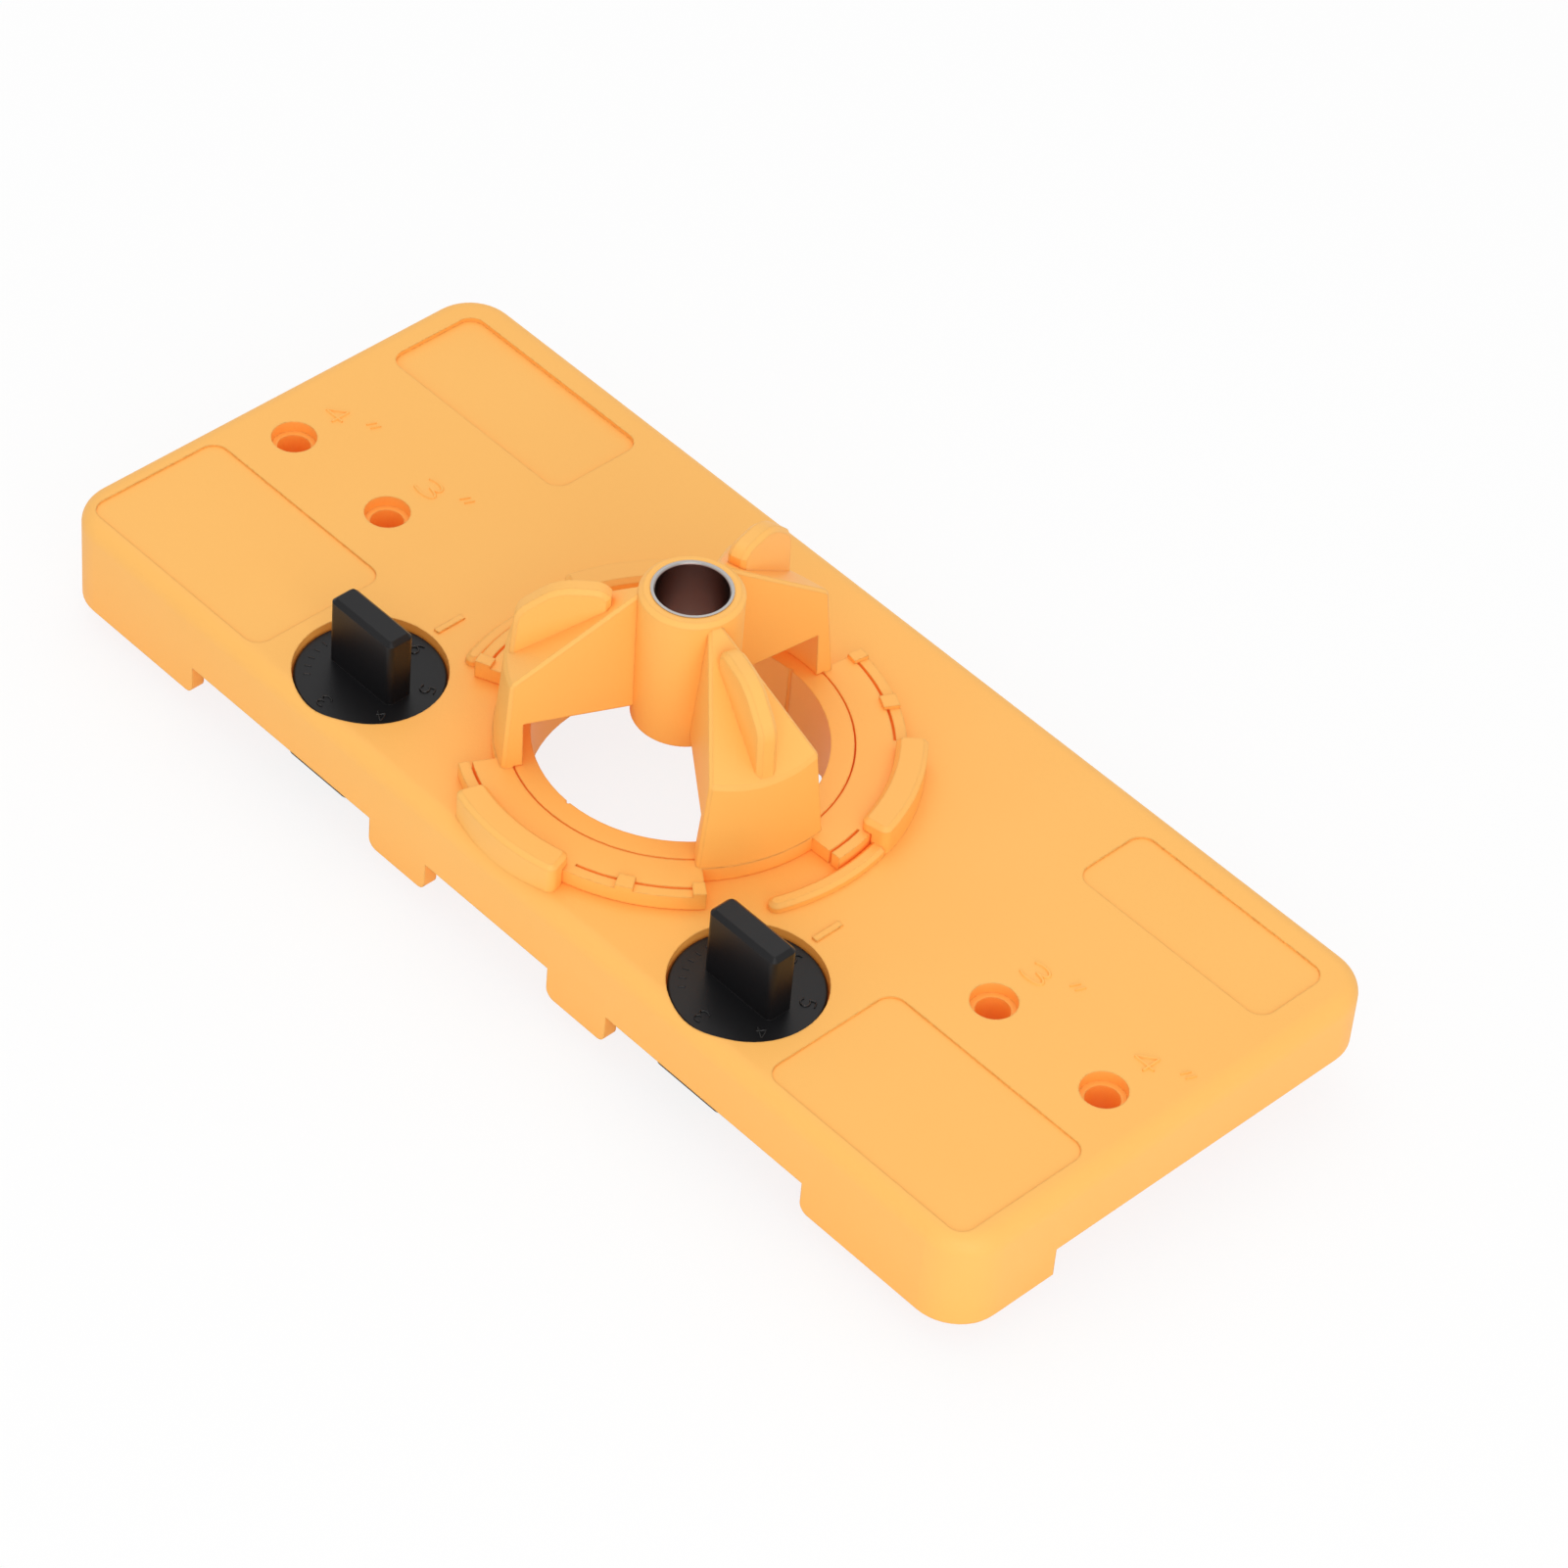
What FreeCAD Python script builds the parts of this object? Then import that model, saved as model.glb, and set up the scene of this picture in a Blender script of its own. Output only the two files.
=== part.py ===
"""Hinge drilling jig: a moulded plate with a turning drill guide and two edge-distance selectors.

Frame: the origin is on the drilling axis, at the underside of the plate, the face that lies on the
door. +X runs along the plate, -Y points at the edge that overhangs the door, +Z points up through
the plate. All sizes are in millimetres.
"""
import FreeCAD, Part
import os

import Sketcher
from FreeCAD import Placement, Rotation, Vector

doc = FreeCAD.newDocument("hinge_drilling_jig")
sheet = doc.addObject("Spreadsheet::Sheet", "Sizes")

# Every size that can be set by itself, once. The word is the cell's alias.
SIZES = [
    # How far a cutting or joining form runs past the face that it meets
    ("overrun", 1.0),
    # Plate: a moulded tray, open below
    ("plate_length", 227.4),
    ("plate_front", 42.9),
    ("plate_back", 53.3),
    ("plate_height", 13.0),
    ("plate_corner", 9.0),
    ("plate_edge", 3.2),
    ("top_wall", 3.0),
    ("side_wall", 2.6),
    # Lip below the front edge, in four pieces
    ("lip_drop", 6.3),
    ("lip_middle_start", 15.5),
    ("lip_middle_end", 30.0),
    ("lip_corner_start", 77.3),
    ("lip_side_reach", 21.0),
    ("lip_round", 1.9),
    # Stop-pin holes, stepped, three and four inches to each side
    ("near_hole_pitch", 152.4),
    ("far_hole_pitch", 203.2),
    ("pin_hole_radius", 3.0),
    ("pin_rim_radius", 4.1),
    ("pin_rim_depth", 2.2),
    ("pin_boss_wall", 2.2),
    # Opening for the bit, and the collar the guide turns on
    ("opening_radius", 25.4),
    ("collar_wall", 4.0),
    ("collar_rise", 3.0),
    ("collar_inset", 2.4),
    ("sight_groove", 0.4),
    # Drill guide
    ("guide_gap", 0.3),
    ("ring_width", 2.2),
    ("flange_reach", 8.7),
    ("flange_start", 1.0),
    ("flange_sweep", 83.0),
    ("rail_width", 1.9),
    ("rail_groove", 0.5),
    ("rail_groove_depth", 1.2),
    ("groove_start", 49.0),
    ("groove_sweep", 33.0),
    ("finger_sweep", 12.5),
    ("bump_angle", 61.0),
    ("bump_sweep", 4.6),
    ("bump_rise", 0.7),
    ("bump_seat", 0.5),
    ("end_bump_sweep", 3.4),
    ("hub_radius", 9.0),
    ("hub_bottom", 22.0),
    ("hub_top", 49.5),
    ("hub_edge", 0.8),
    ("leg_angle", -15.8),
    ("leg_foot_half", 13.1),
    ("leg_root_half", 4.3),
    ("leg_draft", 4.3),
    ("leg_lean", 1.4),
    ("leg_shoulder_height", 32.2),
    ("leg_root_height", 48.3),
    ("leg_underside", 25.0),
    ("leg_wall", 2.4),
    ("leg_skin_slant", 1.09),
    ("leg_skin_slope", 1.25),
    ("leg_core_start", 6.0),
    ("leg_edge", 0.6),
    ("fin_half", 1.85),
    ("fin_start", 13.2),
    ("fin_rise", 48.6),
    ("fin_edge", 0.8),
    ("fin_lean", 1.6),
    ("fin_top_length", 9.3),
    ("fin_heel_drop", 6.2),
    ("fin_inner_round", 3.2),
    ("fin_outer_round", 9.0),
    ("fin_heel_round", 5.0),
    ("fin_inset", 0.7),
    ("fin_root_drop", 1.2),
    ("fin_top_fall", 0.2),
    # Bush pressed into the hub
    ("bush_bore_radius", 6.25),
    ("bush_wall", 0.75),
    ("bush_stand", 0.15),
    ("bush_lead", 0.25),
    # Hoods that hold the guide down, and the stops beside them
    ("hood_angle", 30.0),
    ("hood_sweep", 34.5),
    ("hood_inner_radius", 36.3),
    ("hood_wall", 3.1),
    ("hood_roof", 2.4),
    ("hood_edge", 0.8),
    ("hood_corner", 1.4),
    ("stop_radius", 40.15),
    ("stop_width", 2.9),
    ("stop_rise", 1.7),
    ("stop_end", -19.0),
    ("stop_edge", 0.7),
    # Selector dials
    ("dial_place", 47.5),
    ("dial_setback", 28.2),
    ("dial_radius", 13.2),
    ("dial_gap", 0.3),
    ("dial_sink", 1.3),
    ("dial_thick", 2.6),
    ("dial_floor", 2.4),
    ("socket_wall", 1.6),
    ("grip_length", 15.8),
    ("grip_thick", 5.4),
    ("grip_height", 13.9),
    ("grip_edge", 1.1),
    ("grip_top_edge", 0.8),
    ("shaft_radius", 4.0),
    ("shaft_flat", 3.1),
    ("shaft_length", 6.0),
    ("shaft_gap", 0.3),
    # Selector cams: distance from the turning axis to each face
    ("cam_six", 4.7),
    ("cam_five", 5.7),
    ("cam_four", 6.7),
    ("cam_three", 7.7),
    ("cam_tail", 14.3),
    ("cam_corner", 1.8),
    ("cam_gap", 0.3),
    ("cam_depth", 11.4),
    ("cam_edge", 0.6),
    ("cam_neck_radius", 7.0),
    ("key_gap", 0.05),
    # Screws that join cam and dial
    ("screw_radius", 1.5),
    ("screw_gap", 0.05),
    ("screw_head_radius", 3.0),
    ("screw_head_height", 1.9),
    ("screw_room_gap", 0.4),
    ("screw_slot_depth", 0.9),
    ("screw_slot_width", 0.75),
    ("screw_slot_length", 3.6),
    ("screw_reach", 9.0),
    ("screw_recess", 3.0),
    # Shallow marks in the top face
    ("mark_rise", 0.35),
    ("tick_length", 6.0),
    ("tick_width", 1.2),
    ("tick_start", 13.4),
    ("label_length", 45.5),
    ("label_width", 20.0),
    ("label_depth", 0.8),
    ("label_place", 84.7),
    ("label_setback", 37.0),
    ("table_length", 43.0),
    ("table_width", 16.0),
    ("table_place", 85.5),
    ("table_setback", 39.0),
    ("notice_length", 45.5),
    ("notice_width", 28.5),
    ("notice_place", 86.7),
    ("notice_setback", 25.6),
    ("panel_depth", 0.35),
    ("panel_corner", 3.0),
    # Ribs under the plate
    ("rib_wall", 1.8),
    ("rib_inset", 1.0),
    ("rib_long_place", 24.0),
    ("rib_inner_place", 66.0),
    ("rib_outer_place", 89.0),
]
for row, (alias, value) in enumerate(SIZES, 1):
    sheet.set("A%d" % row, alias)
    sheet.set("B%d" % row, repr(value))
    sheet.setAlias("B%d" % row, alias)
doc.recompute()
value_of = {alias: float(sheet.get(alias)) for alias, _ in SIZES}


def cells(text):
    """Put the sheet's name before each alias in a formula."""
    out = ""
    word = ""
    for letter in text + " ":
        if letter.isalnum() or letter == "_":
            word += letter
            continue
        out += ("Sizes." + word) if word in value_of else word
        out += letter
        word = ""
    return out.strip()


def number(text):
    """The value of a formula of sizes, for code that can't bind to a cell."""
    return float(sheet.evalExpression(cells(text)))


def bind(obj, prop, text):
    obj.setExpression(prop, cells(str(text)))


def place(obj, x=0, y=0, z=0, turn=None):
    """Bind an object's position, and its turn about Z in degrees, to formulas of sizes."""
    bind(obj, "Placement.Base.x", x)
    bind(obj, "Placement.Base.y", y)
    bind(obj, "Placement.Base.z", z)
    if turn is not None:
        obj.Placement.Rotation = Rotation(Vector(0, 0, 1), 1)
        bind(obj, "Placement.Rotation.Angle", turn)
    return obj


def cylinder(name, radius, low, high, x=0, y=0, start=None, sweep=None):
    """A cylinder, or a sector of one from the start angle, between two heights."""
    obj = doc.addObject("Part::Cylinder", name)
    bind(obj, "Radius", radius)
    bind(obj, "Height", "(%s) - (%s)" % (high, low))
    if sweep is not None:
        bind(obj, "Angle", sweep)
    return place(obj, x, y, low, start)


def cone(name, low_radius, high_radius, low, high):
    obj = doc.addObject("Part::Cone", name)
    bind(obj, "Radius1", low_radius)
    bind(obj, "Radius2", high_radius)
    bind(obj, "Height", "(%s) - (%s)" % (high, low))
    return place(obj, 0, 0, low)


def block(name, left, right, front, back, low, high):
    obj = doc.addObject("Part::Box", name)
    bind(obj, "Length", "(%s) - (%s)" % (right, left))
    bind(obj, "Width", "(%s) - (%s)" % (back, front))
    bind(obj, "Height", "(%s) - (%s)" % (high, low))
    return place(obj, left, front, low)


def fuse(name, parts):
    obj = doc.addObject("Part::MultiFuse", name)
    obj.Shapes = parts
    obj.Refine = True
    return obj


def cut(name, base, tool):
    obj = doc.addObject("Part::Cut", name)
    obj.Base = base
    obj.Tool = tool
    obj.Refine = True
    return obj


def common(name, first, second):
    obj = doc.addObject("Part::MultiCommon", name)
    obj.Shapes = [first, second]
    obj.Refine = True
    return obj


def ring(name, inner, outer, low, high, start=None, sweep=None, x=0, y=0):
    """An annular sector, or a whole ring, between two heights."""
    solid = cylinder(name + "_outer", outer, low, high, x, y, start, sweep)
    bore = cylinder(name + "_inner", inner, "(%s) - overrun" % low, "(%s) + overrun" % high, x, y)
    return cut(name, solid, bore)


def prism(name, plane, points, low, high, draft=None):
    """Extrude a closed outline, its corners bound to formulas, between two offsets of its plane.

    plane is "top" for an outline in X and Y, or "side" for one in X and Z. A draft, in degrees,
    parts the sides on the way up, and starts at the low offset.
    """
    sketch = doc.addObject("Sketcher::SketchObject", name + "_outline")
    if plane == "side":
        sketch.Placement = Placement(Vector(), Rotation(Vector(1, 0, 0), 90))
    spots = [Vector(number(x), number(y), 0) for x, y in points]
    count = len(spots)
    for index in range(count):
        sketch.addGeometry(Part.LineSegment(spots[index], spots[(index + 1) % count]), False)
    for index in range(count):
        sketch.addConstraint(Sketcher.Constraint("Coincident", index, 2, (index + 1) % count, 1))
    for index, (x, y) in enumerate(points):
        for kind, text, size in (("DistanceX", x, spots[index].x), ("DistanceY", y, spots[index].y)):
            spot = sketch.addConstraint(Sketcher.Constraint(kind, index, 1, size))
            bind(sketch, "Constraints[%d]" % spot, text)
    obj = doc.addObject("Part::Extrusion", name)
    obj.Base = sketch
    obj.DirMode = "Custom"
    obj.Dir = Vector(0, 0, 1) if plane == "top" else Vector(0, 1, 0)
    obj.Solid = True
    if draft is None:
        bind(obj, "LengthFwd", high)
        bind(obj, "LengthRev", "-(%s)" % low)
    else:
        bind(sketch, "Placement.Base.z", low)
        bind(obj, "LengthFwd", "%s - (%s)" % (high, low))
        bind(obj, "TaperAngle", draft)
    return obj


def rounded(name, base, radius, wanted, kind="Part::Fillet"):
    """Round the edges of an object that the test picks, with one radius."""
    doc.recompute()
    obj = doc.addObject(kind, name)
    obj.Base = base
    size = number(radius)
    picked = [i for i, edge in enumerate(base.Shape.Edges, 1) if wanted(edge)]
    obj.Edges = [(i, size, size) for i in picked]
    return obj


def bevelled(name, base, width, wanted):
    """Break the edges of an object that the test picks, with one width."""
    return rounded(name, base, width, wanted, "Part::Chamfer")


def turned(name, base, angle):
    """A copy of an object turned about the drilling axis."""
    obj = doc.addObject("Part::Compound", name)
    obj.Links = [base]
    return place(obj, turn=angle)


def upright(edge):
    """True for a straight edge along Z."""
    if not isinstance(edge.Curve, Part.Line):
        return False
    return abs(edge.tangentAt(edge.FirstParameter).z) > 0.999


def level_at(edge, height):
    """True for an edge that lies wholly at one height."""
    box = edge.BoundBox
    return abs(box.ZMin - height) < 1e-4 and abs(box.ZMax - height) < 1e-4


# Heights that several pieces share
TOP = "plate_height"
COLLAR_TOP = "plate_height + collar_rise"
COLLAR_RADIUS = "opening_radius + collar_wall"
GUIDE_LOW = "plate_height + guide_gap / 2"
GUIDE_BORE = "opening_radius + collar_wall + guide_gap"
FLANGE_RADIUS = "opening_radius + collar_wall + guide_gap + flange_reach"
HOOD_LOW = "plate_height + collar_rise + guide_gap"
HOOD_HIGH = "plate_height + collar_rise + guide_gap + hood_roof"
HOOD_OUT = "opening_radius + collar_wall + 2 * guide_gap + flange_reach + hood_wall"
DIAL_TOP = "plate_height - dial_sink"
DIAL_LOW = "plate_height - dial_sink - dial_thick"
FLOOR_TOP = "plate_height - dial_sink - dial_thick - dial_gap / 2"
FLOOR_LOW = "plate_height - dial_sink - dial_thick - dial_gap / 2 - dial_floor"
DIAL_HOLE = "dial_radius + dial_gap"
LEG_FOOT = "(opening_radius + collar_wall + guide_gap + ring_width)"
LEG_SHOULDER = "(opening_radius + collar_wall + guide_gap + ring_width - leg_lean)"
FINISHED = []


def finish(obj, node):
    """Label a finished piece with the name of its file."""
    obj.Label = node
    FINISHED.append(obj)


# Jig body: tray with rounded corners and edges
tray_block = block("tray_block", "-plate_length / 2", "plate_length / 2", "-plate_front", "plate_back",
                   0, TOP)
tray_corners = rounded("tray_corners", tray_block, "plate_corner", upright)
tray_outer = rounded("tray_outer", tray_corners, "plate_edge",
                     lambda edge: level_at(edge, number(TOP)))
hollow_block = block("hollow_block", "-plate_length / 2 + side_wall", "plate_length / 2 - side_wall",
                     "-plate_front + side_wall", "plate_back - side_wall", "-overrun",
                     "plate_height - top_wall")
hollow = rounded("hollow", hollow_block, "plate_corner - side_wall", upright)
tray = cut("tray", tray_outer, hollow)

# Jig body: what stands inside the tray, kept within its outer form
inside = [ring("collar_below", "opening_radius", COLLAR_RADIUS, "collar_inset", TOP)]
for side, word in ((1, "right"), (-1, "left")):
    inside.append(cylinder(word + "_socket", "dial_radius + dial_gap + socket_wall", FLOOR_LOW, TOP,
                           "%d * dial_place" % side, "-dial_setback"))
    for pitch in ("near", "far"):
        inside.append(cylinder("%s_%s_boss" % (word, pitch), "pin_rim_radius + pin_boss_wall", 0, TOP,
                               "%d * %s_hole_pitch / 2" % (side, pitch), 0))
    for reach in ("inner", "outer"):
        middle = "%d * rib_%s_place" % (side, reach)
        inside.append(block("%s_%s_rib" % (word, reach), middle + " - rib_wall / 2",
                            middle + " + rib_wall / 2", "-plate_front + side_wall / 2",
                            "plate_back - side_wall / 2", "rib_inset", "plate_height - top_wall / 2"))
inside.append(block("long_rib", "-plate_length / 2 + side_wall / 2", "plate_length / 2 - side_wall / 2",
                    "rib_long_place - rib_wall / 2", "rib_long_place + rib_wall / 2", "rib_inset",
                    "plate_height - top_wall / 2"))
inside_all = common("inside_all", fuse("inside_forms", inside), tray_outer)

# Jig body: lip, one wall under the front and the front corners, cut into four pieces
lip_block = block("lip_block", "-plate_length / 2", "plate_length / 2", "-plate_front", "plate_back",
                  "-lip_drop", "side_wall")
lip_outer = rounded("lip_outer", lip_block, "plate_corner", upright)
lip_hollow_block = block("lip_hollow_block", "-plate_length / 2 + side_wall",
                         "plate_length / 2 - side_wall", "-plate_front + side_wall",
                         "plate_back - side_wall", "-lip_drop - overrun", "side_wall + overrun")
lip_hollow = rounded("lip_hollow", lip_hollow_block, "plate_corner - side_wall", upright)
lip_wall = cut("lip_wall", lip_outer, lip_hollow)
lip_bays = []
for side, word in ((1, "right"), (-1, "left")):
    near, far = ("lip_middle_start", "lip_middle_end")
    left, right = (near, far) if side > 0 else ("-" + far, "-" + near)
    lip_bays.append(block(word + "_lip_middle", left, right, "-plate_front - overrun",
                          "-plate_front + side_wall + overrun", "-lip_drop", "side_wall"))
    near, far = ("lip_corner_start", "plate_length / 2 + overrun")
    left, right = (near, far) if side > 0 else ("-(%s)" % far, "-" + near)
    lip_bays.append(block(word + "_lip_corner", left, right, "-plate_front - overrun", "-lip_side_reach",
                          "-lip_drop", "side_wall"))
lip_bay_forms = [
    rounded(bay.Name + "_soft", bay, "lip_round",
            lambda edge: level_at(edge, -number("lip_drop")) and edge.tangentAt(0).x ** 2 < 0.5
            and abs(edge.BoundBox.YMin + number("plate_front + overrun")) < 1e-4)
    for bay in lip_bays]
lip = common("lip", lip_wall, fuse("lip_pieces", lip_bay_forms))

# Jig body: collar, hoods, stops and ticks above the top face
above = [ring("collar_above", "opening_radius", COLLAR_RADIUS, "plate_height - overrun", COLLAR_TOP)]
hood_mass = ring("hood_mass", "hood_inner_radius", HOOD_OUT, "plate_height - overrun", HOOD_HIGH,
                 "hood_angle - hood_sweep / 2", "hood_sweep")
hood_corners = rounded("hood_corners", hood_mass, "hood_corner", upright)
hood_soft = bevelled("hood_soft", hood_corners, "hood_edge",
                     lambda edge: level_at(edge, number(HOOD_HIGH)))
hood_under = cylinder("hood_under", "opening_radius + collar_wall + 2 * guide_gap + flange_reach", TOP,
                      HOOD_LOW)
hood = cut("hood", hood_soft, hood_under)
above += [hood] + [turned("hood_at_%d" % turn, hood, str(turn)) for turn in (120, 240)]
for side, word in ((1, "right"), (-1, "left")):
    hood_end = "hood_angle - hood_sweep / 2"
    sweep = "hood_angle - hood_sweep / 2 - stop_end"
    start = "stop_end" if side > 0 else "180 - (%s)" % hood_end
    rib = ring(word + "_stop_rib", "stop_radius - stop_width / 2", "stop_radius + stop_width / 2",
               "plate_height - overrun", "plate_height + stop_rise", start, sweep)
    above.append(bevelled(word + "_stop", rib, "stop_edge",
                          lambda edge: level_at(edge, number("plate_height + stop_rise"))
                          and edge.Length > number("stop_width") * 2))
    tip = cylinder(word + "_stop_tip", "stop_width / 2", "plate_height - overrun",
                   "plate_height + stop_rise", "%d * stop_radius * cos(stop_end)" % side,
                   "stop_radius * sin(stop_end)")
    above.append(bevelled(word + "_stop_end", tip, "stop_edge",
                          lambda edge: level_at(edge, number("plate_height + stop_rise"))))
    above.append(block(word + "_tick", "%d * dial_place - tick_width / 2" % side,
                       "%d * dial_place + tick_width / 2" % side, "-tick_start",
                       "-tick_start + tick_length", "plate_height - overrun", "plate_height + mark_rise"))

# Jig body: holes and recesses
holes = [cylinder("opening", "opening_radius", "-lip_drop - overrun", HOOD_HIGH),
         cylinder("back_sight", "sight_groove", "-overrun", HOOD_HIGH, 0, "opening_radius"),
         cylinder("front_sight", "sight_groove", "-overrun", HOOD_HIGH, 0, "-opening_radius")]
for side, word in ((1, "right"), (-1, "left")):
    for pitch in ("near", "far"):
        middle = "%d * %s_hole_pitch / 2" % (side, pitch)
        holes.append(cylinder("%s_%s_pin_hole" % (word, pitch), "pin_hole_radius", "-overrun",
                              "plate_height + overrun", middle, 0))
        holes.append(cylinder("%s_%s_pin_rim" % (word, pitch), "pin_rim_radius",
                              "plate_height - pin_rim_depth", "plate_height + overrun", middle, 0))
    middle = "%d * dial_place" % side
    holes.append(cylinder(word + "_dial_hole", DIAL_HOLE, FLOOR_TOP, "plate_height + overrun", middle,
                          "-dial_setback"))
    holes.append(cylinder(word + "_shaft_hole", "shaft_radius + shaft_gap", "rib_inset - overrun",
                          "plate_height", middle, "-dial_setback"))
    holes.append(cylinder(word + "_cam_room", "dial_radius + dial_gap", "-overrun", FLOOR_LOW, middle,
                          "-dial_setback"))


def panel(name, middle_x, middle_y, length, width, depth):
    form = block(name + "_block", "%s - %s / 2" % (middle_x, length), "%s + %s / 2" % (middle_x, length),
                 "%s - %s / 2" % (middle_y, width), "%s + %s / 2" % (middle_y, width),
                 "plate_height - %s" % depth, "plate_height + overrun")
    return rounded(name, form, "panel_corner", upright)


holes.append(panel("label_panel", "-label_place", "label_setback", "label_length", "label_width",
                   "label_depth"))
holes.append(panel("table_panel", "table_place", "table_setback", "table_length", "table_width",
                   "panel_depth"))
holes.append(panel("right_notice", "notice_place", "-notice_setback", "notice_length", "notice_width",
                   "panel_depth"))
holes.append(panel("left_notice", "-notice_place", "-notice_setback", "notice_length", "notice_width",
                   "panel_depth"))
body_mass = fuse("body_mass", [tray, inside_all, lip] + above)
jig_body = cut("jig_body", body_mass, fuse("body_holes", holes))
finish(jig_body, "jig_body")


# Drill guide: one leg along +X, solid or hollow, then turned to its place
def leg_form(name, skin, low, start, reach):
    """A leg's wedge: its side outline between two drafted faces that part towards the foot.

    skin is how far every face stands inside the outer faces.
    """
    spread = "(leg_foot_half - leg_root_half) / (%s - hub_radius)" % LEG_FOOT
    slope = "(leg_root_height - leg_shoulder_height) / (%s - hub_radius)" % LEG_SHOULDER

    def half_width(x):
        return "(leg_root_half + (%s - hub_radius) * %s - %s * leg_skin_slant)" % (x, spread, skin)

    def top_height(x):
        return "(leg_shoulder_height - (%s - %s) * %s - %s * leg_skin_slope)" % (
            x, LEG_SHOULDER, slope, skin)

    side = prism(name + "_side", "side", [
        (start, low), (reach, low), (reach, top_height(reach)), (start, top_height(start))],
        "-plate_front", "plate_front")
    plan = prism(name + "_plan", "top", [
        (start, "-" + half_width(start)), (reach, "-" + half_width(reach)),
        (reach, half_width(reach)), (start, half_width(start))],
        GUIDE_LOW, "leg_root_height", "-leg_draft")
    return common(name, side, plan)


leg_wedge = leg_form("leg_wedge", "0", GUIDE_LOW, "hub_radius / 2", LEG_FOOT + " + 5")
leg_bound = cone("leg_bound", LEG_FOOT, LEG_SHOULDER, GUIDE_LOW, "leg_shoulder_height")
leg_cap = cylinder("leg_cap", LEG_SHOULDER, "leg_shoulder_height", "leg_root_height")
leg_rounded = common("leg_rounded", leg_wedge, fuse("leg_limits", [leg_bound, leg_cap]))
leg_soft = bevelled("leg_soft", leg_rounded, "leg_edge",
                    lambda edge: edge.BoundBox.ZMax > number("leg_shoulder_height") - 0.01
                    and edge.BoundBox.XMax > number("hub_radius + overrun"))
leg_room = fuse("leg_room", [
    cylinder("leg_room_collar", GUIDE_BORE, GUIDE_LOW, HOOD_LOW),
    cylinder("leg_room_above", LEG_SHOULDER + " - leg_wall", HOOD_LOW, "leg_underside")])
leg_solid = cut("leg_solid", leg_soft, leg_room)
leg_core = common("leg_core",
                  leg_form("leg_inner", "leg_wall", "leg_underside - overrun",
                           "hub_radius + leg_core_start", LEG_SHOULDER + " - leg_wall"),
                  cylinder("leg_core_bound", LEG_SHOULDER + " - leg_wall", "leg_underside - overrun",
                           "hub_top"))
leg_shell = cut("leg_shell", leg_solid, leg_core)

# Drill guide: finger fin on top of the leg, its two upper corners round
fin_form = prism("fin_form", "side", [
    ("fin_start", "leg_shoulder_height - fin_root_drop"),
    ("fin_start", "fin_rise - fin_lean"),
    ("fin_start + fin_lean", "fin_rise"),
    ("fin_start + fin_top_length", "fin_rise - fin_top_fall"),
    (LEG_SHOULDER + " - 2 * fin_inset", "fin_rise - fin_heel_drop"),
    (LEG_SHOULDER + " - fin_inset", "leg_shoulder_height - fin_root_drop")],
    "-fin_half", "fin_half")


def across(edge):
    """True for a straight edge along Y."""
    if not isinstance(edge.Curve, Part.Line):
        return False
    return abs(edge.tangentAt(edge.FirstParameter).y) > 0.999


fin_inner = rounded("fin_inner", fin_form, "fin_inner_round",
                    lambda edge: across(edge)
                    and abs(edge.BoundBox.XMax - number("fin_start + fin_lean")) < 1e-4)
fin_outer = rounded("fin_outer", fin_inner, "fin_outer_round",
                    lambda edge: across(edge)
                    and abs(edge.BoundBox.XMax - number("fin_start + fin_top_length")) < 1e-4)
fin_heel = rounded("fin_heel", fin_outer, "fin_heel_round",
                   lambda edge: across(edge)
                   and abs(edge.BoundBox.XMax - number(LEG_SHOULDER + " - 2 * fin_inset")) < 1e-4)
fin = bevelled("fin", fin_heel, "fin_edge",
               lambda edge: not across(edge)
               and edge.BoundBox.ZMax > number("leg_shoulder_height"))
leg = fuse("leg", [leg_shell, fin])
leg_forms = [place(leg, turn="leg_angle")]
leg_forms += [turned("leg_turned_%d" % turn, leg, str(turn)) for turn in (120, 240)]

# Drill guide: ring and three flanges with an edge rail each
guide_forms = [ring("guide_ring", GUIDE_BORE, GUIDE_BORE + " + ring_width", GUIDE_LOW, COLLAR_TOP)]
flange_cuts = []
RAIL_INNER = FLANGE_RADIUS + " - rail_width"
BUMP_TOP = "plate_height + collar_rise + bump_rise"
for turn, word in ((0, "right"), (120, "left"), (240, "front")):
    start = "flange_start + %d" % turn
    guide_forms.append(ring(word + "_flange", GUIDE_BORE, FLANGE_RADIUS, GUIDE_LOW, COLLAR_TOP, start,
                            "flange_sweep"))
    guide_forms.append(ring(word + "_bump", RAIL_INNER + " - rail_groove - bump_seat", FLANGE_RADIUS,
                            GUIDE_LOW, BUMP_TOP, "bump_angle + %d" % turn, "bump_sweep"))
    end = start + " + flange_sweep - end_bump_sweep"
    guide_forms.append(ring(word + "_end_bump", RAIL_INNER + " - rail_groove - bump_seat", FLANGE_RADIUS,
                            GUIDE_LOW, BUMP_TOP, end, "end_bump_sweep"))
    flange_cuts.append(ring(word + "_groove", RAIL_INNER + " - rail_groove", RAIL_INNER,
                            COLLAR_TOP + " - rail_groove_depth", COLLAR_TOP,
                            "groove_start + %d" % turn, "groove_sweep"))
    flange_cuts.append(ring(word + "_finger_slot", RAIL_INNER + " - rail_groove", RAIL_INNER,
                            "plate_height", COLLAR_TOP, start + " - overrun", "finger_sweep"))

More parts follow.
